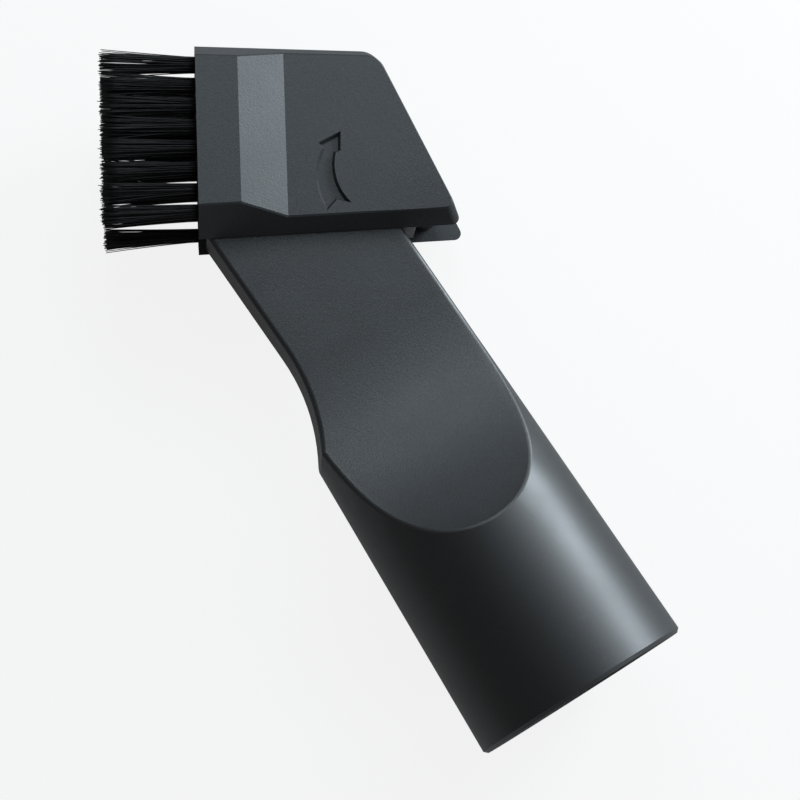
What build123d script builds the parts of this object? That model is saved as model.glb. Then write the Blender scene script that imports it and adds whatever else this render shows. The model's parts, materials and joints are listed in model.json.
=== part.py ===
from build123d import *
import math
import os

# Flat vacuum brush head: a crevice nozzle with a pipe socket, and a brush hood
# that is folded over the nozzle's tip and swings off it about a hinge pin.
#
# Working frame, in millimetres: the socket's open end is centred on the origin,
# +Y runs along the nozzle to its tip, +X is to the right seen from the front,
# and +Z comes out of the front face. At the end all pieces are laid down as they
# come to rest on a floor, with +Z up.

# Nozzle
SOCKET_WALL = 2.5           # wall of the pipe socket at its open end
BODY_TAPER = 1.76           # half angle of the conical body, degrees
BODY_LENGTH = 125.0         # the cone's length before the mouth is cut
BORE_RADIUS = 16.0          # pipe socket
BORE_DEPTH = 28.0
STOP_HEIGHT = 1.6           # ring that the pipe's end stops against
STOP_WIDTH = 1.6
LEAD_IN = 0.6               # chamfer at the bore's open end
RIM_EDGE = 0.6              # broken edge on the outside of the open end
WALL = 1.6                  # wall of the passage and of the blade
BLADE_HALF = 4.6            # half thickness of the flat blade
SCOOP_START = 66.5          # where the scoop leaves the blade's face
SCOOP_RADIUS = 57.9
SCOOP_SWEEP = 48.0          # degrees
FLANK_X = -11.65            # left edge of the blade at its narrowest
FLANK_START = 72.0
FLANK_LEAN = 2.5            # the left edge spreads towards the tip, degrees
FLANK_RADIUS = 34.0
FLANK_SWEEP = 50.0          # degrees
MOUTH_LEFT = 95.0           # the slanted mouth, at the blade's left edge
MOUTH_RIGHT = 110.0         # and at its right edge
BLADE_ROUND = 0.8           # round on the blade's long edges

# Brush hood
HOOD_X = -5.74              # middle of the bristle end
HOOD_Y = 108.9
HOOD_TURN = -30.0           # turn of the hood's middle line, degrees
HOOD_WIDTH = 33.0           # at the bristle end
HOOD_TAPER = 2.43           # each long side, degrees
HOOD_LENGTH = 36.5          # along the middle line to the slanted end
SLANT = 65.6                # slanted end to the middle line, degrees
FAR_CORNER = 3.5            # round of the upper corner of the slanted end
NEAR_CORNER = 1.2           # round of the lower corner
STRIP_HALF = 11.6           # half thickness at the bristle strip
PLATE_HALF = 8.3            # half thickness of the plate
STRIP_LENGTH = 6.85
RAMP_LENGTH = 7.6           # slope from the strip down to the plate
SIDE_DRAFT = 29.0           # lean of the long sides, degrees
SLANT_DRAFT = 6.0           # lean of the slanted end, degrees
HOOD_WALL = 2.0             # closed long side and slanted end
SLOT_CLEARANCE = 0.2        # between the blade and the hood, each face
HOOD_EDGE = 0.2             # broken edge round the hood's faces
BACK_REACH = 1.2            # the back cover's slanted end stands out further

# Hinge at the hood's lower corner
PIN_OUT = 1.1               # pin past the end of the hood's middle line
PIN_IN = 5.9                # pin in from the hood's lower side
PIN_RADIUS = 1.25
PIN_SEAT = 2.3              # depth of the blind seat in each cover
PIN_FIT = 0.02              # radial play in the covers
EAR_FIT = 0.05              # radial play in the nozzle's ear
EAR_RADIUS = 2.3
EAR_PLAY = 0.4              # between the ear and each cover
NECK_WIDTH = 4.4            # carries the ear
NECK_HALF = 3.2
BLOCK_END = 2.0             # end of the neck's foot, short of the pin
BLOCK_INSET = 0.3           # foot to the hood's lower side
BLOCK_WIDTH = 4.0
SWING_OPENING = 7.0         # the slanted end is open this far above the pin

# Bristles
TUFTS = 8                   # in each of two rows
TUFT_PITCH = 3.55
TUFT_SIDES = 8              # a bundle is drawn with this many flat sides
TUFT_RADIUS = 1.25
TUFT_HOLE = 1.3
TUFT_WALL = 1.0             # between a hole and the slot
TUFT_DEPTH = 6.5
TUFT_FREE = 15.5
TUFT_SPREAD = 1.75          # radius at the tips
TUFT_FAN = 0.04             # outward lean, as a share of the place in the row
ANCHOR_LENGTH = 1.5
ANCHOR_WIDTH = 2.2
ANCHOR_THICKNESS = 0.35

# Arrow pressed into the front cover
ARROW_DEPTH = 0.8

SOCKET_RADIUS = BORE_RADIUS + SOCKET_WALL
STOP_RADIUS = BORE_RADIUS - STOP_HEIGHT
SLOT_HALF = BLADE_HALF + SLOT_CLEARANCE
TUFT_Z = SLOT_HALF + TUFT_WALL + TUFT_HOLE
PIN_U = HOOD_LENGTH + PIN_OUT
PIN_V = PIN_IN - HOOD_WIDTH / 2
FAR = 60.0                  # cutting shapes reach past the part by this

hood_place = Location((HOOD_X, HOOD_Y, 0), (0, 0, HOOD_TURN))


def sind(a):
    return math.sin(math.radians(a))


def cosd(a):
    return math.cos(math.radians(a))


def tand(a):
    return math.tan(math.radians(a))


def outer_radius(y):
    """Radius of the conical body at a distance from the open end."""
    return SOCKET_RADIUS - y * tand(BODY_TAPER)


def in_tool(u, v, z):
    """A point of the hood's frame in the working frame."""
    x = HOOD_X + u * cosd(HOOD_TURN) - v * sind(HOOD_TURN)
    y = HOOD_Y + u * sind(HOOD_TURN) + v * cosd(HOOD_TURN)
    return Vector(x, y, z)


def scoop_cut(inset):
    """Everything in front of the blade's face and of the scoop behind it."""
    centre_y = SCOOP_START
    centre_z = BLADE_HALF + SCOOP_RADIUS
    radius = SCOOP_RADIUS + inset

    def on_arc(a):
        return (centre_y - radius * sind(a), centre_z - radius * cosd(a))

    start = on_arc(0)
    end = on_arc(SCOOP_SWEEP)
    far_y = BODY_LENGTH + FAR
    edges = [
        ThreePointArc(end, on_arc(SCOOP_SWEEP / 2), start),
        Polyline(start, (far_y, start[1]), (far_y, FAR), (end[0], FAR), end),
    ]
    profile = Plane.YZ * make_face(edges)
    return extrude(profile, FAR, both=True)


def flank_cut(inset):
    """Everything to the left of the blade's left edge and its flare."""
    centre_x = FLANK_X - FLANK_RADIUS * cosd(FLANK_LEAN)
    centre_y = FLANK_START - FLANK_RADIUS * sind(FLANK_LEAN)
    radius = FLANK_RADIUS + inset

    def on_arc(a):
        return (centre_x + radius * cosd(a), centre_y + radius * sind(a))

    start = on_arc(FLANK_LEAN)
    end = on_arc(FLANK_LEAN - FLANK_SWEEP)
    run = BODY_LENGTH
    tip = (start[0] - run * sind(FLANK_LEAN), start[1] + run * cosd(FLANK_LEAN))
    edges = [
        ThreePointArc(end, on_arc(FLANK_LEAN - FLANK_SWEEP / 2), start),
        Polyline(start, tip, (-FAR - FAR, tip[1]), (-FAR - FAR, end[1]), end),
    ]
    return extrude(make_face(edges), FAR, both=True)


def nozzle_form(inset, from_y):
    """The round body flattened to a blade, moved in everywhere by inset."""
    length = BODY_LENGTH - from_y
    cone = Cone(
        outer_radius(from_y) - inset,
        outer_radius(BODY_LENGTH) - inset,
        length,
        align=(Align.CENTER, Align.CENTER, Align.MIN),
    )
    form = Pos(0, from_y, 0) * Rot(-90, 0, 0) * cone
    scoop = scoop_cut(inset)
    return form - scoop - mirror(scoop, Plane.XY) - flank_cut(inset)


def along_y(radius, start, end):
    """A cylinder on the nozzle's axis."""
    rod = Cylinder(radius, end - start, align=(Align.CENTER, Align.CENTER, Align.MIN))
    return Pos(0, start, 0) * Rot(-90, 0, 0) * rod


def mouth_cut():
    """Everything past the slanted mouth."""
    left = FLANK_X
    right = outer_radius(MOUTH_RIGHT)
    slope = (MOUTH_RIGHT - MOUTH_LEFT) / (right - left)
    y_left = MOUTH_LEFT + slope * (-FAR - left)
    y_right = MOUTH_LEFT + slope * (FAR - left)
    face = make_face(Polyline(
        (-FAR, y_left), (FAR, y_right), (FAR, y_right + 2 * FAR),
        (-FAR, y_right + 2 * FAR), (-FAR, y_left),
    ))
    return extrude(face, FAR, both=True)


def hinge_ear():
    """Ear for the hinge pin, with its neck and the neck's foot on the blade."""
    ear = Pos(PIN_U, PIN_V, 0) * Cylinder(EAR_RADIUS, 2 * (SLOT_HALF - EAR_PLAY))
    pin = in_tool(PIN_U, PIN_V, 0)
    reach = (pin.X - outer_radius(pin.Y) + WALL) / cosd(HOOD_TURN)
    corner = Align.MAX, Align.CENTER, Align.CENTER
    neck = Pos(PIN_U, PIN_V, 0) * Box(reach, NECK_WIDTH, 2 * NECK_HALF, align=corner)
    low_side = HOOD_WIDTH / 2 - PIN_U * tand(HOOD_TAPER) - BLOCK_INSET
    low = Align.MAX, Align.MIN, Align.CENTER
    foot = Pos(PIN_U - BLOCK_END, -low_side, 0) * Box(
        reach, BLOCK_WIDTH, 2 * NECK_HALF, align=low)
    return hood_place * (ear + neck + foot)


def make_nozzle():
    """Socket, scooped transition, hollow blade and hinge ear, one moulding."""
    outer = nozzle_form(0, 0)
    cut_faces = [f for f in outer.faces() if abs(f.normal_at().Z) > 0.6]
    long_edges = []
    for edge in outer.edges():
        owners = [f for f in cut_faces if any(edge.is_same(e) for e in f.edges())]
        middle = edge.position_at(0.5)
        if len(owners) == 1 and middle.Y < BODY_LENGTH - 1:
            long_edges.append(edge)
    outer = fillet(long_edges, BLADE_ROUND)
    rim = outer.edges().filter_by(GeomType.CIRCLE).sort_by(Axis.Y)[0]
    outer = chamfer(rim, RIM_EDGE)

    body = outer - mouth_cut() + hinge_ear()
    pin = in_tool(PIN_U, PIN_V, 0)
    body -= Pos(pin.X, pin.Y, 0) * Cylinder(PIN_RADIUS + EAR_FIT, 2 * SLOT_HALF)

    shoulder = BORE_DEPTH + STOP_WIDTH
    body -= along_y(BORE_RADIUS, -1, BORE_DEPTH)
    body -= along_y(STOP_RADIUS, 0, shoulder + 0.5)
    body -= nozzle_form(WALL, shoulder)
    mouth_edge = [
        e for e in body.edges().filter_by(GeomType.CIRCLE)
        if abs(e.radius - BORE_RADIUS) < 1e-4 and abs(e.center().Y) < 1e-4
    ]
    return chamfer(mouth_edge, LEAD_IN)


def hood_corners(side_inset, slant_inset):
    """Corners of the hood's outline, in order round from the lower left one."""
    lean = tand(HOOD_TAPER)
    half = HOOD_WIDTH / 2 - side_inset / cosd(HOOD_TAPER)
    reach = HOOD_LENGTH * sind(SLANT) - slant_inset
    upper = (reach - half * cosd(SLANT)) / (sind(SLANT) - lean * cosd(SLANT))
    lower = (reach + half * cosd(SLANT)) / (sind(SLANT) + lean * cosd(SLANT))
    return [
        (0, -half),
        (lower, -(half - lean * lower)),
        (upper, half - lean * upper),
        (0, half),
    ]


def hood_face(side_inset, slant_inset):
    """The hood's outline with its two rounded corners."""
    corners = hood_corners(side_inset, slant_inset)
    face = make_face(Polyline(*corners, corners[0]))
    near = face.vertices().sort_by_distance(Vector(*corners[1]))[0]
    face = fillet(near, NEAR_CORNER)
    far = face.vertices().sort_by_distance(Vector(*corners[2]))[0]
    return fillet(far, FAR_CORNER)


def row_place(i):
    """Where tuft number i of a row stands along the bristle end."""
    return (i - (TUFTS - 1) / 2) * TUFT_PITCH


def cover_form(out):
    """Outer form of one half: drafted sides, thick strip, ramp, plate.

    The slanted end stands out by the given length.
    """
    rise = STRIP_HALF - SLOT_HALF
    foot = hood_face(0, -out)
    top = hood_face(rise * tand(SIDE_DRAFT), rise * tand(SLANT_DRAFT) - out)
    band = extrude(foot, SLOT_HALF)
    drafted = loft([Pos(0, 0, SLOT_HALF) * foot, Pos(0, 0, STRIP_HALF) * top], ruled=True)
    ramp_end = STRIP_LENGTH + RAMP_LENGTH
    side = Plane.XZ * make_face(Polyline(
        (0, 0), (0, STRIP_HALF), (STRIP_LENGTH, STRIP_HALF), (ramp_end, PLATE_HALF),
        (ramp_end + FAR, PLATE_HALF), (ramp_end + FAR, 0), (0, 0),
    ))
    form = (band + drafted) & extrude(side, FAR, both=True)
    roof = [
        f for f in form.faces()
        if f.normal_at().Z > 0.8 and f.center().Z > PLATE_HALF - 0.5
    ]
    edges = []
    for edge in form.edges():
        owners = [f for f in roof if any(edge.is_same(e) for e in f.edges())]
        if len(owners) == 1 and edge.position_at(0.5).X > 1e-3:
            edges.append(edge)
    return chamfer(edges, HOOD_EDGE)


def cover_cavity():
    """Room for the blade: open at the bristle end and along the lower side."""
    inner = hood_corners(HOOD_WALL, HOOD_WALL)
    lean = tand(HOOD_TAPER)
    open_v = PIN_V + SWING_OPENING
    top_right = inner[2]
    down = (top_right[1] - open_v) / tand(SLANT)
    face = make_face(Polyline(
        (-1, -FAR), (-1, inner[3][1] + lean), top_right,
        (top_right[0] + down, open_v), (FAR, open_v), (FAR, -FAR), (-1, -FAR),
    ))
    return extrude(face, SLOT_HALF)


def arrow():
    """Curved arrow that shows which way the hood swings off."""
    tip = (23.4, 0.4)
    right_barb = (23.3, -2.9)
    right_neck = (22.5, -3.2)
    right_tail = (24.8, -11.75)
    notch = (22.4, -11.2)
    left_tail = (20.8, -13.0)
    left_neck = (20.3, -2.4)
    left_barb = (19.7, -1.5)
    edges = [
        Polyline(left_neck, left_barb, tip, right_barb, right_neck),
        ThreePointArc(right_neck, (22.3, -6.6), right_tail),
        Polyline(right_tail, notch, left_tail),
        ThreePointArc(left_tail, (19.2, -7.8), left_neck),
    ]
    return Pos(0, 0, PLATE_HALF - ARROW_DEPTH) * extrude(make_face(edges), 2 * ARROW_DEPTH)


def along_u(radius, v, z, start, end):
    """A cylinder that runs along the bristles."""
    rod = Cylinder(radius, end - start, align=(Align.CENTER, Align.CENTER, Align.MIN))
    return Pos(start, v, z) * Rot(0, 90, 0) * rod


def make_cover(out):
    """One half of the hood, as the front one without its arrow, in the hood's frame."""
    cover = cover_form(out) - cover_cavity()
    for i in range(TUFTS):
        cover -= along_u(TUFT_HOLE, row_place(i), TUFT_Z, -1, TUFT_DEPTH)
    seat = Cylinder(PIN_RADIUS + PIN_FIT, SLOT_HALF + PIN_SEAT,
                    align=(Align.CENTER, Align.CENTER, Align.MIN))
    return cover - Pos(PIN_U, PIN_V, 0) * seat


def make_tuft(i):
    """One bundle of bristles, folded into its hole and spread at its tips."""
    v = row_place(i)
    root_end = TUFT_DEPTH - ANCHOR_LENGTH
    foot = Plane((0, v, TUFT_Z), x_dir=(0, 1, 0), z_dir=(-1, 0, 0))
    lean = math.degrees(math.atan2(v * TUFT_FAN, TUFT_FREE))
    bundle = RegularPolygon(TUFT_RADIUS, TUFT_SIDES)
    root = foot * extrude(bundle, -root_end)
    tips = RegularPolygon(TUFT_SPREAD, TUFT_SIDES)
    free = loft([bundle, Pos(0, 0, TUFT_FREE) * tips], ruled=True)
    return root + foot * Rot(0, lean, 0) * free


def make_anchors():
    """Flat wire anchors that hold the tufts of one row in their holes."""
    middle = TUFT_DEPTH - ANCHOR_LENGTH / 2
    anchor = Box(ANCHOR_LENGTH, ANCHOR_THICKNESS, ANCHOR_WIDTH)
    return [Pos(middle, row_place(i), TUFT_Z) * anchor for i in range(TUFTS)]


def rest_plane():
    """The floor: it touches the socket's rim and two back corners of the hood.

    Its normal is (p, q, 1). Both corners lie equally deep along it, and so does
    the lowest point of the rim, at SOCKET_RADIUS times the root of p squared plus
    one. That leaves one equation for p, solved by halving.
    """
    strip_inset = (STRIP_HALF - SLOT_HALF) * tand(SIDE_DRAFT)
    plate_inset = (PLATE_HALF - SLOT_HALF) * tand(SIDE_DRAFT)
    strip_v = HOOD_WIDTH / 2 - strip_inset - STRIP_LENGTH * tand(HOOD_TAPER)
    slant_inset = (PLATE_HALF - SLOT_HALF) * tand(SLANT_DRAFT) - BACK_REACH
    plate = hood_corners(plate_inset, slant_inset)[2]
    a = in_tool(STRIP_LENGTH, strip_v, -STRIP_HALF)
    b = in_tool(plate[0], plate[1], -PLATE_HALF)
    d = a - b

    def lean(p):
        return -(p * d.X + d.Z) / d.Y

    def miss(p):
        return p * a.X + lean(p) * a.Y + a.Z + SOCKET_RADIUS * math.hypot(p, 1)

    low, high = -0.6, 0.2
    for _ in range(60):
        p = (low + high) / 2
        if miss(p) < 0:
            low = p
        else:
            high = p
    normal = Vector(p, lean(p), 1).normalized()
    return Plane((0, 0, 0), x_dir=(normal.Z, 0, -normal.X), z_dir=normal)


def make_pieces():
    """Every piece by name, in the working frame."""
    pieces = {"nozzle": make_nozzle()}
    pieces["front_cover"] = hood_place * (make_cover(0) - arrow())
    pieces["back_cover"] = hood_place * mirror(make_cover(BACK_REACH), Plane.XY)
    pin_length = 2 * (SLOT_HALF + PIN_SEAT)
    pieces["hinge_pin"] = hood_place * Pos(PIN_U, PIN_V, 0) * Cylinder(PIN_RADIUS, pin_length)
    for i in range(TUFTS):
        tuft = make_tuft(i)
        pieces[f"tuft_front_{i + 1}"] = hood_place * tuft
        pieces[f"tuft_back_{i + 1}"] = hood_place * mirror(tuft, Plane.XY)
    anchors = make_anchors()
    pieces["anchors_front"] = Compound(children=[hood_place * a for a in anchors])
    pieces["anchors_back"] = Compound(
        children=[hood_place * mirror(a, Plane.XY) for a in anchors]
    )
    return pieces


def laid_down(pieces):
    """The pieces as they rest on a floor at z = 0, centred on the origin."""
    floor = rest_plane()
    turned = {name: floor.to_local_coords(piece) for name, piece in pieces.items()}
    boxes = [piece.bounding_box() for piece in turned.values()]
    low = [min(getattr(b.min, k) for b in boxes) for k in "XYZ"]
    high = [max(getattr(b.max, k) for b in boxes) for k in "XYZ"]
    shift = Pos(-(low[0] + high[0]) / 2, -(low[1] + high[1]) / 2, -low[2])
    return {name: shift * piece for name, piece in turned.items()}, floor, shift


def main():
    os.makedirs("parts", exist_ok=True)
    pieces, _, _ = laid_down(make_pieces())
    for name, piece in pieces.items():
        export_step(piece, f"parts/{name}.step")


if __name__ == "__main__":
    main()
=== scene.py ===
import json
import math

import bpy
import numpy as np
from bpy.props import FloatProperty, FloatVectorProperty, IntProperty, PointerProperty
from bpy.types import Operator, Panel, PropertyGroup
from mathutils import Matrix, Vector


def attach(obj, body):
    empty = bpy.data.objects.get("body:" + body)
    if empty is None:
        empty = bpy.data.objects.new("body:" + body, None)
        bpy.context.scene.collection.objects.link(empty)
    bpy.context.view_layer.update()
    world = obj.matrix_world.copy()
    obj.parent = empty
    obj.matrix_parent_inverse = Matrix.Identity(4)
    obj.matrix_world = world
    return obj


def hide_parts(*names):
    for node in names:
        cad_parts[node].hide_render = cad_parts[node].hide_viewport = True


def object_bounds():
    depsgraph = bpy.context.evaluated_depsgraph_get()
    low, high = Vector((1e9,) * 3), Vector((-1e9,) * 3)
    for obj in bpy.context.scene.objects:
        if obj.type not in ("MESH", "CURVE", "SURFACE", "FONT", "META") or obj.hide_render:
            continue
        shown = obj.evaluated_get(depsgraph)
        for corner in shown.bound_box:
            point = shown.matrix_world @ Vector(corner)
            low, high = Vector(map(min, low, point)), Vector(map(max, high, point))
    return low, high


bl_info = {
    "name": "Vacuum brush head",
    "version": (1, 0, 0),
    "blender": (4, 5, 0),
    "location": "View3D > Sidebar > Brush head",
    "description": "Finishes, bristles and studio for a crevice nozzle with a swing-off brush hood",
    "category": "Object",
}

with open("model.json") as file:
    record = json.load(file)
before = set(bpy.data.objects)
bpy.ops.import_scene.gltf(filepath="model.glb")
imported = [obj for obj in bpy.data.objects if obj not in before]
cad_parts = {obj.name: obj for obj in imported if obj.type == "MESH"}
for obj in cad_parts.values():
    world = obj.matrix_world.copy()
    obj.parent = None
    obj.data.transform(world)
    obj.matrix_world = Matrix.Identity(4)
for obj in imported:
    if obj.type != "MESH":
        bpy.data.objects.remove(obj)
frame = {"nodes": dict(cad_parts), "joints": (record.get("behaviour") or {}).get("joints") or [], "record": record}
CAD_LOW, CAD_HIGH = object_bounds()

# The nozzle's own axes in the model: y runs from the socket to the tip, z comes
# out of the front face, and the zero point is the middle of the socket's open end.
SOCKET = frame["record"]["mounts"][0]
HINGE = frame["joints"][0]
SOCKET_MIDDLE = 0.0143
TOOL_Y = -np.array(SOCKET["axis"], float)
TOOL_Z = -np.array(HINGE["axis"], float)
TOOL_X = np.cross(TOOL_Y, TOOL_Z)
TOOL_ZERO = np.array(SOCKET["pos_m"], float) - SOCKET_MIDDLE * TOOL_Y

# The hood's own axes: u runs from the bristle end along its middle line, v up.
HOOD_X = -0.00574
HOOD_Y = 0.1089
HOOD_TURN = math.radians(-30)

TUFTS = 8
TUFT_PITCH = 0.00355
TUFT_Z = 0.0071
ROOT_FULLEST = 1.05             # share of the tuft's radius that its hole still takes

# The arrow pressed into the front cover, in the hood's axes.
ARROW_LEFT_NECK = (0.0203, -0.0024)
ARROW_LEFT_BARB = (0.0197, -0.0015)
ARROW_TIP = (0.0234, 0.0004)
ARROW_RIGHT_BARB = (0.0233, -0.0029)
ARROW_RIGHT_NECK = (0.0225, -0.0032)
ARROW_RIGHT_BEND = (0.0223, -0.0066)
ARROW_RIGHT_TAIL = (0.0248, -0.01175)
ARROW_NOTCH = (0.0224, -0.0112)
ARROW_LEFT_TAIL = (0.0208, -0.0130)
ARROW_LEFT_BEND = (0.0192, -0.0078)
ARROW_TOP = 0.0083
ARROW_FLOOR = 0.0075
ARROW_SLOPE = 0.0004            # width of its sloped walls
ARROW_TUCK = 0.00003            # the walls' strip reaches this far into the cover
ARROW_ARC_STEPS = 6

SOCKET_RADIUS = 0.0185
BODY_TAPER = math.radians(1.76)


def tool_to_model(points):
    """Points in the nozzle's axes, moved to the model's frame: the zero point plus
    each coordinate times its axis."""
    points = np.asarray(points, float)
    return TOOL_ZERO + points @ np.stack([TOOL_X, TOOL_Y, TOOL_Z])


def hood_to_model(points):
    """Points in the hood's axes, turned about z by the hood's turn, put at the
    middle of the bristle end, and moved to the model's frame."""
    points = np.asarray(points, float)
    c, s = math.cos(HOOD_TURN), math.sin(HOOD_TURN)
    u, v, z = points[..., 0], points[..., 1], points[..., 2]
    x = HOOD_X + u * c - v * s
    y = HOOD_Y + u * s + v * c
    return tool_to_model(np.stack([x, y, z], axis=-1))


class PlasticSettings(PropertyGroup):
    """Colours and surface of the mouldings."""

    blade_colour: FloatVectorProperty(
        name="Blade colour",
        description="Charcoal of the grained faces of the nozzle",
        subtype="COLOR", size=3, min=0, max=1, default=(0.021, 0.023, 0.025),
    )
    tube_colour: FloatVectorProperty(
        name="Tube colour",
        description="Charcoal of the smooth round end of the nozzle",
        subtype="COLOR", size=3, min=0, max=1, default=(0.011, 0.012, 0.013),
    )
    hood_colour: FloatVectorProperty(
        name="Hood colour",
        description="Charcoal of the brush hood",
        subtype="COLOR", size=3, min=0, max=1, default=(0.021, 0.023, 0.025),
    )
    grain_size: FloatProperty(
        name="Grain size",
        description="Width of one grain of the moulded texture",
        unit="LENGTH", min=0.00005, max=0.002, default=0.00032,
    )


class BristleSettings(PropertyGroup):
    """The bundles of bristles."""

    filaments: IntProperty(
        name="Filaments",
        description="Bristles in one tuft",
        min=10, max=200, default=96,
    )
    free_length: FloatProperty(
        name="Free length",
        description="Length of the bristles outside the hood",
        unit="LENGTH", min=0.005, max=0.05, default=0.0155,
    )
    base_radius: FloatProperty(
        name="Tuft radius",
        description="Radius of a tuft where it leaves its hole",
        unit="LENGTH", min=0.0005, max=0.003, default=0.00122,
    )
    tip_radius: FloatProperty(
        name="Tip radius",
        description="Radius of a tuft at its tips",
        unit="LENGTH", min=0.0005, max=0.005, default=0.00195,
    )
    fullness_step: FloatProperty(
        name="Fullness step",
        description="How much fuller each tuft is than the one below it in its row",
        min=0, max=0.1, default=0.035,
    )
    thickness: FloatProperty(
        name="Filament thickness",
        description="Diameter of one bristle at its root",
        unit="LENGTH", min=0.00005, max=0.001, default=0.0002,
    )
    colour: FloatVectorProperty(
        name="Bristle colour",
        description="Black of the nylon bristles",
        subtype="COLOR", size=3, min=0, max=1, default=(0.006, 0.006, 0.006),
    )


class StudioSettings(PropertyGroup):
    """Floor and lamps."""

    floor_size: FloatProperty(
        name="Floor size",
        description="Side of the pale floor",
        unit="LENGTH", min=0.5, max=20, default=6,
    )
    key_power: FloatProperty(
        name="Key lamp",
        description="Power of the low lamp to the right, which draws the tube's highlight",
        unit="POWER", min=0, max=100, default=2.6,
    )
    top_power: FloatProperty(
        name="Top lamp",
        description="Power of the lamp past the top of the picture",
        unit="POWER", min=0, max=100, default=0.66,
    )
    corner_power: FloatProperty(
        name="Corner lamp",
        description="Power of the lamp past the picture's upper right corner",
        unit="POWER", min=0, max=100, default=0.32,
    )
    side_power: FloatProperty(
        name="Side lamp",
        description="Power of the weak lamp to the lower right",
        unit="POWER", min=0, max=100, default=0.43,
    )


def add_node(tree, kind, **values):
    """A node with its properties and the defaults of its inputs set by name."""
    node = tree.nodes.new(kind)
    for name, value in values.items():
        if hasattr(node, name):
            setattr(node, name, value)
        else:
            node.inputs[name.replace("_", " ")].default_value = value
    return node


def math_node(tree, operation, a, b=None):
    """A Math node on two values or sockets, and its output."""
    node = add_node(tree, "ShaderNodeMath", operation=operation)
    for place, value in enumerate((a, b)):
        if isinstance(value, bpy.types.NodeSocket):
            tree.links.new(value, node.inputs[place])
        elif value is not None:
            node.inputs[place].default_value = value
    return node.outputs[0]


def dot_node(tree, vector, axis):
    """The length of a vector along a fixed axis."""
    node = add_node(tree, "ShaderNodeVectorMath", operation="DOT_PRODUCT")
    tree.links.new(vector, node.inputs[0])
    node.inputs[1].default_value = tuple(axis)
    return node.outputs["Value"]


def new_group(name, inputs, outputs):
    """An empty shader node group with float or colour sockets."""
    group = bpy.data.node_groups.new(name, "ShaderNodeTree")
    for socket, kind, default in inputs:
        made = group.interface.new_socket(name=socket, in_out="INPUT", socket_type=kind)
        if default is not None:
            made.default_value = default
    for socket, kind in outputs:
        group.interface.new_socket(name=socket, in_out="OUTPUT", socket_type=kind)
    return group, group.nodes.new("NodeGroupInput"), group.nodes.new("NodeGroupOutput")


NOISE_CORE = (0.3, 0.7)         # most of a noise's values lie between these
WIDE_GRAIN_SCALE = 0.3          # scale of the wide grain, as a share of the fine one's
WIDE_GRAIN_HEIGHT = 0.6         # and its share in the height
GRAIN_SHADE = (0.82, 1.18)      # darkest and lightest grain


def grain_group():
    """Fine moulded grain: two noises, one of the grain's own size and one about
    three times as wide, give a height, and the fine one a slight change of shade."""
    if "moulded_grain" in bpy.data.node_groups:
        return bpy.data.node_groups["moulded_grain"]
    group, start, end = new_group(
        "moulded_grain",
        [("Place", "NodeSocketVector", None), ("Grains per metre", "NodeSocketFloat", 3000.0)],
        [("Height", "NodeSocketFloat"), ("Shade", "NodeSocketFloat")],
    )
    fine = add_node(group, "ShaderNodeTexNoise", Detail=2.0, Roughness=0.55)
    wide = add_node(group, "ShaderNodeTexNoise", Detail=3.0, Roughness=0.6)
    group.links.new(start.outputs["Place"], fine.inputs["Vector"])
    group.links.new(start.outputs["Place"], wide.inputs["Vector"])
    group.links.new(start.outputs["Grains per metre"], fine.inputs["Scale"])
    wide_scale = math_node(group, "MULTIPLY", start.outputs["Grains per metre"], WIDE_GRAIN_SCALE)
    group.links.new(wide_scale, wide.inputs["Scale"])
    wide_height = math_node(group, "MULTIPLY", wide.outputs["Fac"], WIDE_GRAIN_HEIGHT)
    height = math_node(group, "ADD", fine.outputs["Fac"], wide_height)
    group.links.new(height, end.inputs["Height"])
    shade = map_range(group, fine.outputs["Fac"], *NOISE_CORE, *GRAIN_SHADE)
    group.links.new(shade, end.inputs["Shade"])
    return group


FILM_PER_METRE = 45.0
SCUFF_TURN = (0.3, 0.2, 0.7)
SCUFF_STRETCH = (60.0, 700.0, 700.0)
SCUFF_CREST = (0.68, 0.78)      # only the noise's highest values leave a scuff


def handling_group():
    """Marks of use: a cloudy film from a wide noise, and thin scuffs from a noise
    that is stretched along one direction and cut to its highest crests."""
    if "handling_marks" in bpy.data.node_groups:
        return bpy.data.node_groups["handling_marks"]
    group, start, end = new_group(
        "handling_marks",
        [("Place", "NodeSocketVector", None)],
        [("Film", "NodeSocketFloat"), ("Scuffs", "NodeSocketFloat")],
    )
    film = add_node(group, "ShaderNodeTexNoise", Scale=FILM_PER_METRE, Detail=4.0, Roughness=0.6)
    group.links.new(start.outputs["Place"], film.inputs["Vector"])
    group.links.new(film.outputs["Fac"], end.inputs["Film"])
    turn = add_node(group, "ShaderNodeMapping", Rotation=SCUFF_TURN, Scale=SCUFF_STRETCH)
    scuff = add_node(group, "ShaderNodeTexNoise", Scale=1.0, Detail=1.0)
    group.links.new(start.outputs["Place"], turn.inputs["Vector"])
    group.links.new(turn.outputs["Vector"], scuff.inputs["Vector"])
    crest = map_range(group, scuff.outputs["Fac"], *SCUFF_CREST, 0.0, 1.0)
    group.links.new(crest, end.inputs["Scuffs"])
    return group


def use_group(tree, group):
    """A node that places a shared group in a material."""
    node = tree.nodes.new("ShaderNodeGroup")
    node.node_tree = group
    return node


def new_material(name):
    """A material with an empty tree, its Principled shader and its output."""
    material = bpy.data.materials.new(name)
    material.use_nodes = True
    tree = material.node_tree
    tree.nodes.clear()
    shader = add_node(tree, "ShaderNodeBsdfPrincipled")
    output = tree.nodes.new("ShaderNodeOutputMaterial")
    tree.links.new(shader.outputs["BSDF"], output.inputs["Surface"])
    return material, tree, shader


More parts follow.
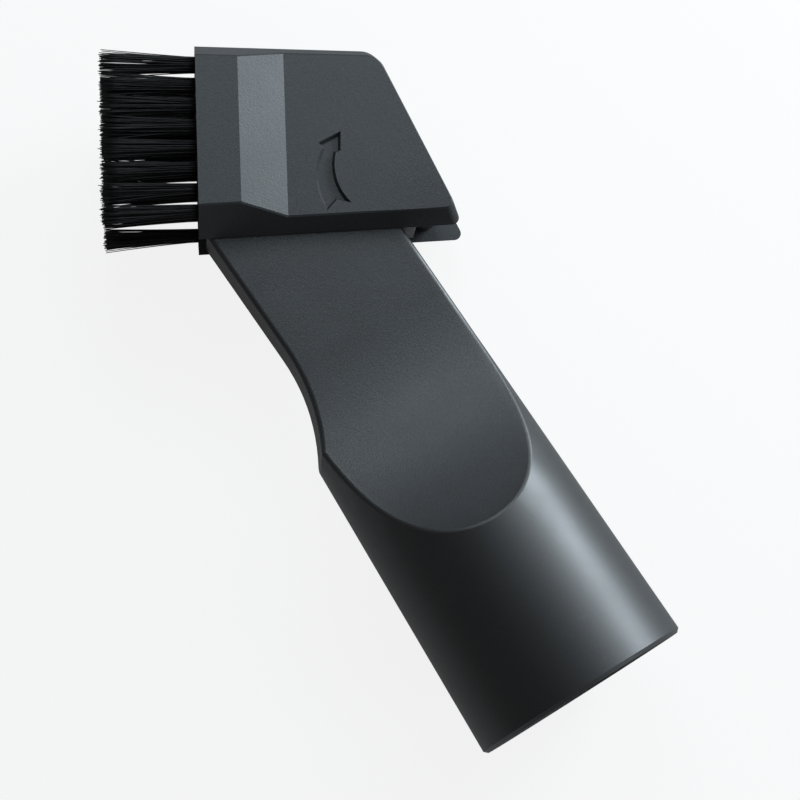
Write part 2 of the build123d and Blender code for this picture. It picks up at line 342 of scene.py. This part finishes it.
def colour_mix(tree, factor, a, b):
    """Mixes two colours or colour sockets."""
    node = add_node(tree, "ShaderNodeMix", data_type="RGBA")
    for place, value in ((0, factor), (6, a), (7, b)):
        if isinstance(value, bpy.types.NodeSocket):
            tree.links.new(value, node.inputs[place])
        elif place == 0:
            node.inputs[place].default_value = value
        else:
            node.inputs[place].default_value = (*value, 1.0)
    return node.outputs[2]


def shaded(tree, colour, shade):
    """A colour made darker or lighter by a value."""
    node = add_node(tree, "ShaderNodeVectorMath", operation="SCALE")
    tree.links.new(colour, node.inputs[0])
    tree.links.new(shade, node.inputs["Scale"])
    return node.outputs[0]


def map_range(tree, value, low, high, to_low, to_high, smooth=False):
    """A value carried from one range to another."""
    node = add_node(tree, "ShaderNodeMapRange", From_Min=low, From_Max=high,
                    To_Min=to_low, To_Max=to_high)
    if smooth:
        node.interpolation_type = "SMOOTHSTEP"
    tree.links.new(value, node.inputs["Value"])
    return node.outputs["Result"]


def grain_parts(tree, grain_size):
    """Object coordinates, the grain and the marks of use of one material."""
    place = tree.nodes.new("ShaderNodeTexCoord").outputs["Object"]
    grain = use_group(tree, grain_group())
    grain.inputs["Grains per metre"].default_value = 1 / grain_size
    marks = use_group(tree, handling_group())
    tree.links.new(place, grain.inputs["Place"])
    tree.links.new(place, marks.inputs["Place"])
    return place, grain, marks


WORN_GREY = 0.004               # added to every colour that wear lightens
FILM_VALUES = (0.35, 0.7)       # the film's noise, from clean to full film
ROUGH_VALUES = (0.3, 0.8)       # the film's noise, from smoothest to roughest
BUMP_STRENGTH = 0.4
BUMP_HEIGHT = 0.00005

HOOD_WORN = 1.35                # how much lighter the hood is where it is worn
HOOD_FILM = 0.6
HOOD_SCUFFS = 0.25
HOOD_ROUGHNESS = (0.40, 0.54)
HOOD_SPECULAR = 0.45


def worn(colour, gain):
    """A colour as wear leaves it: lighter by a gain, and a little grey."""
    return tuple(min(1.0, c * gain + WORN_GREY) for c in colour)


def hood_plastic(settings):
    """Matte charcoal with a fine grain, faint film and faint scuffs."""
    material, tree, shader = new_material("hood_plastic")
    _, grain, marks = grain_parts(tree, settings.grain_size)
    colour = tuple(settings.hood_colour)
    lighter = worn(colour, HOOD_WORN)
    film = map_range(tree, marks.outputs["Film"], *FILM_VALUES, 0.0, HOOD_FILM)
    base = colour_mix(tree, film, colour, lighter)
    scuffs = math_node(tree, "MULTIPLY", marks.outputs["Scuffs"], HOOD_SCUFFS)
    scuffed = colour_mix(tree, scuffs, base, lighter)
    tree.links.new(shaded(tree, scuffed, grain.outputs["Shade"]), shader.inputs["Base Color"])
    rough = map_range(tree, marks.outputs["Film"], *ROUGH_VALUES, *HOOD_ROUGHNESS)
    tree.links.new(rough, shader.inputs["Roughness"])
    bump = add_node(tree, "ShaderNodeBump", Strength=BUMP_STRENGTH, Distance=BUMP_HEIGHT)
    tree.links.new(grain.outputs["Height"], bump.inputs["Height"])
    tree.links.new(bump.outputs["Normal"], shader.inputs["Normal"])
    shader.inputs["Specular IOR Level"].default_value = HOOD_SPECULAR
    return material


TUBE_EDGE = (0.0002, 0.0016)    # depth inside the cone where the tube's finish ends
TUBE_GRAIN = 0.35               # height of the grain on the tube, as a share
TUBE_COAT = 0.5
TUBE_COAT_ROUGHNESS = 0.5
NOZZLE_WORN = 1.3
NOZZLE_FILM = 0.55
NOZZLE_SCUFFS = 0.2
NOZZLE_ROUGHNESS = (0.40, 0.52)
NOZZLE_SPECULAR = 0.5


def nozzle_plastic(settings):
    """Grained charcoal on the blade and scoop; darker, with less grain and a soft
    coat, on the tube.

    How far a point lies inside the cone of the tube tells the two apart: the
    cone's radius at that height less the point's distance from the axis."""
    material, tree, shader = new_material("nozzle_plastic")
    place, grain, marks = grain_parts(tree, settings.grain_size)
    shift = add_node(tree, "ShaderNodeVectorMath", operation="SUBTRACT")
    shift.inputs[1].default_value = tuple(TOOL_ZERO)
    tree.links.new(place, shift.inputs[0])
    x = dot_node(tree, shift.outputs[0], TOOL_X)
    y = dot_node(tree, shift.outputs[0], TOOL_Y)
    z = dot_node(tree, shift.outputs[0], TOOL_Z)
    x_square = math_node(tree, "MULTIPLY", x, x)
    z_square = math_node(tree, "MULTIPLY", z, z)
    radius = math_node(tree, "SQRT", math_node(tree, "ADD", x_square, z_square))
    narrowing = math_node(tree, "MULTIPLY", y, math.tan(BODY_TAPER))
    cone = math_node(tree, "SUBTRACT", SOCKET_RADIUS, narrowing)
    inside = math_node(tree, "SUBTRACT", cone, radius)
    flat = map_range(tree, inside, *TUBE_EDGE, 0.0, 1.0, smooth=True)

    blade = tuple(settings.blade_colour)
    tube = tuple(settings.tube_colour)
    lighter = worn(blade, NOZZLE_WORN)
    film = map_range(tree, marks.outputs["Film"], *FILM_VALUES, 0.0, NOZZLE_FILM)
    faces = colour_mix(tree, film, blade, lighter)
    base = colour_mix(tree, flat, tube, faces)
    scuffs = math_node(tree, "MULTIPLY", marks.outputs["Scuffs"], NOZZLE_SCUFFS)
    scuffed = colour_mix(tree, scuffs, base, lighter)
    tree.links.new(shaded(tree, scuffed, grain.outputs["Shade"]), shader.inputs["Base Color"])
    rough = map_range(tree, marks.outputs["Film"], *ROUGH_VALUES, *NOZZLE_ROUGHNESS)
    tree.links.new(rough, shader.inputs["Roughness"])
    grain_share = map_range(tree, flat, 0.0, 1.0, TUBE_GRAIN, 1.0)
    height = math_node(tree, "MULTIPLY", grain.outputs["Height"], grain_share)
    bump = add_node(tree, "ShaderNodeBump", Strength=BUMP_STRENGTH, Distance=BUMP_HEIGHT)
    tree.links.new(height, bump.inputs["Height"])
    tree.links.new(bump.outputs["Normal"], shader.inputs["Normal"])
    tree.links.new(map_range(tree, flat, 0.0, 1.0, TUBE_COAT, 0.0), shader.inputs["Coat Weight"])
    shader.inputs["Coat Roughness"].default_value = TUBE_COAT_ROUGHNESS
    shader.inputs["Specular IOR Level"].default_value = NOZZLE_SPECULAR
    return material


BRISTLE_WORN = 2.6              # how much lighter the greyest filament is
BRISTLE_GREYING = (0.35, 0.9)   # share of that grey at the root and at the tip
BRISTLE_ROUGHNESS = (0.38, 0.55)
BRISTLE_SPECULAR = 0.3


def bristle_nylon(settings):
    """Black nylon; each filament has its own shade, kept in an attribute, and its
    tip is a little greyer than its root."""
    material, tree, shader = new_material("bristle_nylon")
    tone = add_node(tree, "ShaderNodeAttribute", attribute_name="tone", attribute_type="GEOMETRY")
    along = add_node(tree, "ShaderNodeAttribute", attribute_name="along", attribute_type="GEOMETRY")
    colour = tuple(settings.colour)
    grey = worn(colour, BRISTLE_WORN)
    greying = map_range(tree, along.outputs["Fac"], 0.0, 1.0, *BRISTLE_GREYING)
    share = math_node(tree, "MULTIPLY", tone.outputs["Fac"], greying)
    tree.links.new(colour_mix(tree, share, colour, grey), shader.inputs["Base Color"])
    rough = map_range(tree, tone.outputs["Fac"], 0.0, 1.0, *BRISTLE_ROUGHNESS)
    tree.links.new(rough, shader.inputs["Roughness"])
    shader.inputs["Specular IOR Level"].default_value = BRISTLE_SPECULAR
    return material


PIN_COLOUR = (0.5, 0.5, 0.51)
ANCHOR_COLOUR = (0.55, 0.53, 0.48)
STREAK_SQUEEZE = 0.97           # the streaks' noise is squeezed this far along the wire
STREAKS_PER_METRE = 9000.0
STREAK_DARKEST = 0.7
STEEL_ROUGHNESS = (0.25, 0.42)


def drawn_steel(name, colour, grain_axis):
    """Drawn wire: fine streaks along its axis vary the colour and the roughness."""
    material, tree, shader = new_material(name)
    place = tree.nodes.new("ShaderNodeTexCoord").outputs["Object"]
    along = dot_node(tree, place, grain_axis)
    back = add_node(tree, "ShaderNodeVectorMath", operation="SCALE")
    back.inputs[0].default_value = tuple(-STREAK_SQUEEZE * c for c in grain_axis)
    tree.links.new(along, back.inputs["Scale"])
    squeezed = add_node(tree, "ShaderNodeVectorMath", operation="ADD")
    tree.links.new(place, squeezed.inputs[0])
    tree.links.new(back.outputs[0], squeezed.inputs[1])
    streak = add_node(tree, "ShaderNodeTexNoise", Scale=STREAKS_PER_METRE, Detail=3.0)
    tree.links.new(squeezed.outputs[0], streak.inputs["Vector"])
    darker = tuple(c * STREAK_DARKEST for c in colour)
    tree.links.new(colour_mix(tree, streak.outputs["Fac"], darker, colour), shader.inputs["Base Color"])
    rough = map_range(tree, streak.outputs["Fac"], *NOISE_CORE, *STEEL_ROUGHNESS)
    tree.links.new(rough, shader.inputs["Roughness"])
    shader.inputs["Metallic"].default_value = 1.0
    return material


def dress(node_names, material):
    """Puts a material on CAD nodes."""
    for name in node_names:
        mesh = frame["nodes"][name].data
        if not mesh.materials:
            mesh.materials.append(material)
        for place in range(len(mesh.materials)):
            mesh.materials[place] = material


FILAMENT_RINGS = 7
FILAMENT_SIDES = 5
ROOT_DEPTH = 0.0012             # a filament starts this far inside its hole
ROW_LEAN = 0.04                 # outward lean, as a share of the place in the row
SPREAD_POWER = 1.15
TIP_SCATTER = 0.00016
TIP_SWAY = 0.0002
TIP_THINNING = 0.35             # share of the thickness that is lost at the tip
LENGTH_SCATTER = 0.011          # as a share of the free length
LENGTH_DOME = 0.012             # a tuft's outermost filaments are shorter by this share
SEED_STEP = 100


def tuft_mesh(name, v, z, settings, seed):
    """One tuft of filaments.

    Filament k starts on a sunflower spiral in the tuft's disc: distance from the
    middle as the root of k, turned by the golden angle. Along its length s, from
    0 at the root to 1 at the tip, its line runs straight out of the hole, spreads
    to the wider disc at the tips with a power of s, leans outwards with its
    place in the row, and sways by a small random offset with s squared. Round
    that line lies a five-sided tube whose radius thins towards the tip. Both discs
    grow evenly with the place in the row, the root's no further than its hole."""
    rng = np.random.default_rng(seed)
    count, rings, sides = settings.filaments, FILAMENT_RINGS, FILAMENT_SIDES
    k = np.arange(count)
    angle = k * math.pi * (3 - math.sqrt(5)) + rng.uniform(0, 2 * math.pi)
    share = np.sqrt((k + 0.5) / count)
    disc = np.stack([np.cos(angle), np.sin(angle)], axis=-1) * share[:, None]
    fullness = 1 + settings.fullness_step * v / TUFT_PITCH
    root = disc * settings.base_radius * min(fullness, ROOT_FULLEST)
    tip = disc * settings.tip_radius * fullness + rng.normal(0, TIP_SCATTER, (count, 2))
    lean = np.array([v * ROW_LEAN, 0.0])
    sway = rng.normal(0, TIP_SWAY, (count, 2))
    scatter = rng.normal(0, LENGTH_SCATTER, count)
    length = settings.free_length * (1 + scatter - LENGTH_DOME * share**2)

    start = -ROOT_DEPTH / settings.free_length
    s = np.linspace(start, 1, rings)
    out = np.clip(s, 0, None)
    spread = out**SPREAD_POWER
    across = (root[:, None] + (tip - root)[:, None] * spread[None, :, None]
              + lean * out[None, :, None] + sway[:, None] * (out**2)[None, :, None])
    along = -length[:, None] * s[None, :]
    thick = settings.thickness / 2 * (1 - TIP_THINNING * out)

    turn = np.linspace(0, 2 * math.pi, sides, endpoint=False)
    ring = np.stack([np.cos(turn), np.sin(turn)], axis=-1)
    points = np.empty((count, rings, sides, 3))
    points[..., 0] = along[:, :, None]
    points[..., 1:] = across[:, :, None, :] + thick[None, :, None, None] * ring[None, None, :, :]
    points[..., 1] += v
    points[..., 2] += z

    index = np.arange(count * rings * sides).reshape(count, rings, sides)
    low, high = index[:, :-1], index[:, 1:]
    quads = np.stack([low, high, np.roll(high, -1, 2), np.roll(low, -1, 2)], axis=-1).reshape(-1, 4)
    caps = index[:, -1, ::-1]
    feet = index[:, 0]
    faces = quads.tolist() + caps.tolist() + feet.tolist()

    mesh = bpy.data.meshes.new(name)
    mesh.from_pydata(hood_to_model(points.reshape(-1, 3)), [], faces)
    tone = np.repeat(rng.uniform(0, 1, count), rings * sides).astype(np.float32)
    length_share = np.broadcast_to(out[None, :, None], (count, rings, sides)).astype(np.float32).ravel()
    for label, values in (("tone", tone), ("along", np.ascontiguousarray(length_share))):
        mesh.attributes.new(label, "FLOAT", "POINT").data.foreach_set("value", values)
    mesh.shade_smooth()
    mesh.update()
    return mesh


def arc_points(start, middle, end):
    """Points from the first to the last of three on the circle through them.

    Its centre c solves 2 (p - start) . c = |p|^2 - |start|^2 for the other two
    points p, and the angle runs evenly from start to end the shorter way round."""
    start, middle, end = (np.array(point) for point in (start, middle, end))
    rows = 2 * np.stack([middle - start, end - start])
    squares = np.array([middle @ middle, end @ end]) - start @ start
    centre = np.linalg.solve(rows, squares)
    first, last = (math.atan2(v, u) for u, v in (start - centre, end - centre))
    sweep = (last - first + math.pi) % (2 * math.pi) - math.pi
    angle = first + sweep * np.linspace(0, 1, ARROW_ARC_STEPS + 1)
    radius = np.linalg.norm(start - centre)
    return centre + radius * np.stack([np.cos(angle), np.sin(angle)], axis=-1)


def moved_in(outline, distance):
    """A clockwise outline moved inwards: with n and m the inward normals of the
    sides before and after a corner, it goes by 2 (n + m) / |n + m|^2 times the
    distance."""
    side = np.roll(outline, -1, 0) - outline
    side /= np.linalg.norm(side, axis=1, keepdims=True)
    after = np.stack([side[:, 1], -side[:, 0]], axis=-1)
    both = after + np.roll(after, 1, 0)
    return outline + distance * 2 * both / (both**2).sum(axis=1, keepdims=True)


def arrow_walls_mesh(name):
    """Sloped walls of the arrow: a closed strip of three-sided section, from the
    outline at the cover's face down to a line inside it on the pocket's floor."""
    outline = np.concatenate([
        [ARROW_LEFT_BARB, ARROW_TIP, ARROW_RIGHT_BARB],
        arc_points(ARROW_RIGHT_NECK, ARROW_RIGHT_BEND, ARROW_RIGHT_TAIL),
        [ARROW_NOTCH],
        arc_points(ARROW_LEFT_TAIL, ARROW_LEFT_BEND, ARROW_LEFT_NECK),
    ])
    count = len(outline)
    outer = moved_in(outline, -ARROW_TUCK)
    inner = moved_in(outline, ARROW_SLOPE)
    high = np.full(count, ARROW_TOP - ARROW_TUCK)
    low = np.full(count, ARROW_FLOOR - ARROW_TUCK)
    lines = ((outer, high), (outer, low), (inner, low))
    points = np.concatenate([np.column_stack([line, z]) for line, z in lines])
    top, foot, toe = np.arange(3 * count).reshape(3, count)
    faces = [
        np.stack([a, b, np.roll(b, -1), np.roll(a, -1)], axis=-1)
        for a, b in ((top, toe), (toe, foot), (foot, top))
    ]
    mesh = bpy.data.meshes.new(name)
    mesh.from_pydata(hood_to_model(points), [], np.concatenate(faces).tolist())
    mesh.update()
    return mesh


class BRUSHHEAD_OT_nozzle(Operator):
    """Finish of the moulded nozzle"""

    bl_idname = "brushhead.nozzle"
    bl_label = "Finish the nozzle"

    def execute(self, context):
        dress(["nozzle"], nozzle_plastic(context.scene.brushhead_plastic))
        return {"FINISHED"}


class BRUSHHEAD_OT_hood(Operator):
    """Finish of the hood's two covers"""

    bl_idname = "brushhead.hood"
    bl_label = "Finish the hood"

    def execute(self, context):
        dress(["front_cover", "back_cover"], hood_plastic(context.scene.brushhead_plastic))
        return {"FINISHED"}


class BRUSHHEAD_OT_arrow(Operator):
    """Sloped walls of the arrow in the front cover"""

    bl_idname = "brushhead.arrow"
    bl_label = "Make the arrow's walls"

    def execute(self, context):
        mesh = arrow_walls_mesh("arrow_walls")
        mesh.materials.append(bpy.data.materials["hood_plastic"])
        walls = bpy.data.objects.new("arrow_walls", mesh)
        context.scene.collection.objects.link(walls)
        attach(walls, "brush_head")
        return {"FINISHED"}


class BRUSHHEAD_OT_metal(Operator):
    """Finish of the hinge pin and the tuft anchors"""

    bl_idname = "brushhead.metal"
    bl_label = "Finish the metal pieces"

    def execute(self, context):
        dress(["hinge_pin"], drawn_steel("pin_steel", PIN_COLOUR, TOOL_Z))
        dress(["anchors_front", "anchors_back"], drawn_steel("anchor_wire", ANCHOR_COLOUR, TOOL_Z))
        return {"FINISHED"}


class BRUSHHEAD_OT_bristles(Operator):
    """Two rows of bristle tufts in place of their plain solids"""

    bl_idname = "brushhead.bristles"
    bl_label = "Make the bristles"

    def execute(self, context):
        settings = context.scene.brushhead_bristles
        material = bristle_nylon(settings)
        for row, side in (("front", 1), ("back", -1)):
            for i in range(TUFTS):
                v = (i - (TUFTS - 1) / 2) * TUFT_PITCH
                name = f"bristles_{row}_{i + 1}"
                seed = SEED_STEP * (side + 1) + i
                mesh = tuft_mesh(name, v, side * TUFT_Z, settings, seed)
                mesh.materials.append(material)
                tuft = bpy.data.objects.new(name, mesh)
                context.scene.collection.objects.link(tuft)
                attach(tuft, "brush_head")
                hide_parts(f"tuft_{row}_{i + 1}")
        return {"FINISHED"}


FLOOR_WHITE = 0.86              # share of plain white in what the camera sees
FLOOR_MIRRORED = 0.15           # and in what a surface mirrors
FLOOR_BOUNCE = 0.38             # paleness of the floor as it lights the part
FLOOR_SEEN = 0.9                # and as the camera sees it
WORLD_LEVEL = 0.13


def studio_floor(size):
    """A flat pale floor, near white to the camera, that keeps a soft shadow."""
    half = size / 2
    corner = np.array([[-half, -half, 0], [half, -half, 0], [half, half, 0], [-half, half, 0]])
    mesh = bpy.data.meshes.new("floor")
    mesh.from_pydata(corner, [], [(0, 1, 2, 3)])
    floor = bpy.data.objects.new("floor", mesh)
    bpy.context.scene.collection.objects.link(floor)
    material = bpy.data.materials.new("floor_white")
    material.use_nodes = True
    tree = material.node_tree
    tree.nodes.clear()
    path = tree.nodes.new("ShaderNodeLightPath")
    camera_ray = path.outputs["Is Camera Ray"]
    mirror_ray = math_node(tree, "MAXIMUM", path.outputs["Is Glossy Ray"],
                           path.outputs["Is Transmission Ray"])
    direct = math_node(tree, "MULTIPLY", camera_ray, FLOOR_WHITE)
    mirrored = math_node(tree, "MULTIPLY", mirror_ray, FLOOR_MIRRORED)
    seen = math_node(tree, "MAXIMUM", direct, mirrored)
    matte = add_node(tree, "ShaderNodeBsdfDiffuse")
    pale = map_range(tree, camera_ray, 0.0, 1.0, FLOOR_BOUNCE, FLOOR_SEEN)
    tree.links.new(pale, matte.inputs["Color"])
    white = add_node(tree, "ShaderNodeEmission", Color=(1, 1, 1, 1), Strength=1.0)
    mix = tree.nodes.new("ShaderNodeMixShader")
    output = tree.nodes.new("ShaderNodeOutputMaterial")
    tree.links.new(seen, mix.inputs[0])
    tree.links.new(matte.outputs[0], mix.inputs[1])
    tree.links.new(white.outputs[0], mix.inputs[2])
    tree.links.new(mix.outputs[0], output.inputs["Surface"])
    mesh.materials.append(material)


def studio_world(level):
    """Even light from all round, white where the camera looks past the floor."""
    world = bpy.data.worlds.new("studio")
    world.use_nodes = True
    tree = world.node_tree
    tree.nodes.clear()
    path = tree.nodes.new("ShaderNodeLightPath")
    seen = math_node(tree, "MAXIMUM", path.outputs["Is Camera Ray"], path.outputs["Is Transmission Ray"])
    strength = map_range(tree, seen, 0.0, 1.0, level, 1.0)
    back = add_node(tree, "ShaderNodeBackground", Color=(1, 1, 1, 1))
    output = tree.nodes.new("ShaderNodeOutputWorld")
    tree.links.new(strength, back.inputs["Strength"])
    tree.links.new(back.outputs[0], output.inputs["Surface"])
    bpy.context.scene.world = world


def studio_lamp(name, place, target, size, power, colour):
    """A rectangular lamp that faces a point."""
    lamp = bpy.data.lights.new(name, "AREA")
    lamp.shape = "RECTANGLE"
    lamp.size, lamp.size_y = size
    lamp.energy = power
    lamp.color = colour
    made = bpy.data.objects.new(name, lamp)
    made.location = place
    made.visible_camera = False
    made.rotation_euler = (Vector(target) - Vector(place)).to_track_quat("-Z", "Y").to_euler()
    bpy.context.scene.collection.objects.link(made)


CAMERA_PLACE = (-0.075732, -0.004168, 0.413872)
CAMERA_RIGHT = (0.8426, -0.5328, 0.0782)
CAMERA_DOWN = (-0.5077, -0.8344, -0.2144)
CAMERA_LENS = 117.45
CAMERA_SENSOR = 36
CAMERA_CLIP = (0.01, 20)
LAMP_DISTANCE = 0.45
LAMP_COLOUR = (0.82, 0.93, 1.0)

# Each lamp's name, its degrees off the line from the part to the camera, its degrees
# round that line from the picture's right, and its size.
LAMPS = (
    ("key", 80, 40, (0.20, 0.16)),
    ("top", 52, 90, (0.20, 0.20)),
    ("corner", 52, 40, (0.20, 0.20)),
    ("side", 76, -20, (0.20, 0.20)),
)


class BRUSHHEAD_OT_studio(Operator):
    """Floor, lamps and the photograph's camera"""

    bl_idname = "brushhead.studio"
    bl_label = "Make the studio"

    def execute(self, context):
        settings = context.scene.brushhead_studio
        scene = context.scene
        scene.view_settings.view_transform = "Standard"
        axes = np.stack([TOOL_X, TOOL_Y, TOOL_Z])
        right = Vector(np.array(CAMERA_RIGHT) @ axes).normalized()
        up = -Vector(np.array(CAMERA_DOWN) @ axes)
        up = (up - up.dot(right) * right).normalized()
        back = right.cross(up)
        camera = bpy.data.cameras.new("camera")
        camera.sensor_width = CAMERA_SENSOR
        camera.lens = CAMERA_LENS
        camera.clip_start, camera.clip_end = CAMERA_CLIP
        made = bpy.data.objects.new("camera", camera)
        turn = Matrix((right, up, back)).transposed().to_4x4()
        made.matrix_world = Matrix.Translation(tool_to_model(CAMERA_PLACE)) @ turn
        scene.collection.objects.link(made)
        scene.camera = made

        studio_floor(settings.floor_size)
        studio_world(WORLD_LEVEL)
        centre = Vector((CAD_LOW + CAD_HIGH) / 2)
        for name, off_degrees, around_degrees, size in LAMPS:
            power = getattr(settings, f"{name}_power")
            off = math.radians(off_degrees)
            around = math.radians(around_degrees)
            across = math.cos(around) * right + math.sin(around) * up
            place = centre + LAMP_DISTANCE * (math.sin(off) * across + math.cos(off) * back)
            studio_lamp(name, place, centre, size, power, LAMP_COLOUR)
        return {"FINISHED"}


STEPS = (
    BRUSHHEAD_OT_nozzle,
    BRUSHHEAD_OT_hood,
    BRUSHHEAD_OT_arrow,
    BRUSHHEAD_OT_metal,
    BRUSHHEAD_OT_bristles,
    BRUSHHEAD_OT_studio,
)


class BRUSHHEAD_PT_panel(Panel):
    """Settings and steps of the brush head"""

    bl_label = "Brush head"
    bl_space_type = "VIEW_3D"
    bl_region_type = "UI"
    bl_category = "Brush head"

    def draw(self, context):
        scene = context.scene
        for settings in (scene.brushhead_plastic, scene.brushhead_bristles, scene.brushhead_studio):
            box = self.layout.box()
            for name in settings.__annotations__:
                box.prop(settings, name)
        for step in STEPS:
            self.layout.operator(step.bl_idname)


CLASSES = (PlasticSettings, BristleSettings, StudioSettings, *STEPS, BRUSHHEAD_PT_panel)


def register():
    for made in CLASSES:
        bpy.utils.register_class(made)
    bpy.types.Scene.brushhead_plastic = PointerProperty(type=PlasticSettings)
    bpy.types.Scene.brushhead_bristles = PointerProperty(type=BristleSettings)
    bpy.types.Scene.brushhead_studio = PointerProperty(type=StudioSettings)


def unregister():
    del bpy.types.Scene.brushhead_plastic
    del bpy.types.Scene.brushhead_bristles
    del bpy.types.Scene.brushhead_studio
    for made in reversed(CLASSES):
        bpy.utils.unregister_class(made)


def main():
    """Registers the add-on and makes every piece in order."""
    register()
    bpy.ops.brushhead.nozzle()
    bpy.ops.brushhead.hood()
    bpy.ops.brushhead.arrow()
    bpy.ops.brushhead.metal()
    bpy.ops.brushhead.bristles()
    bpy.ops.brushhead.studio()


if __name__ == "__main__":
    main()
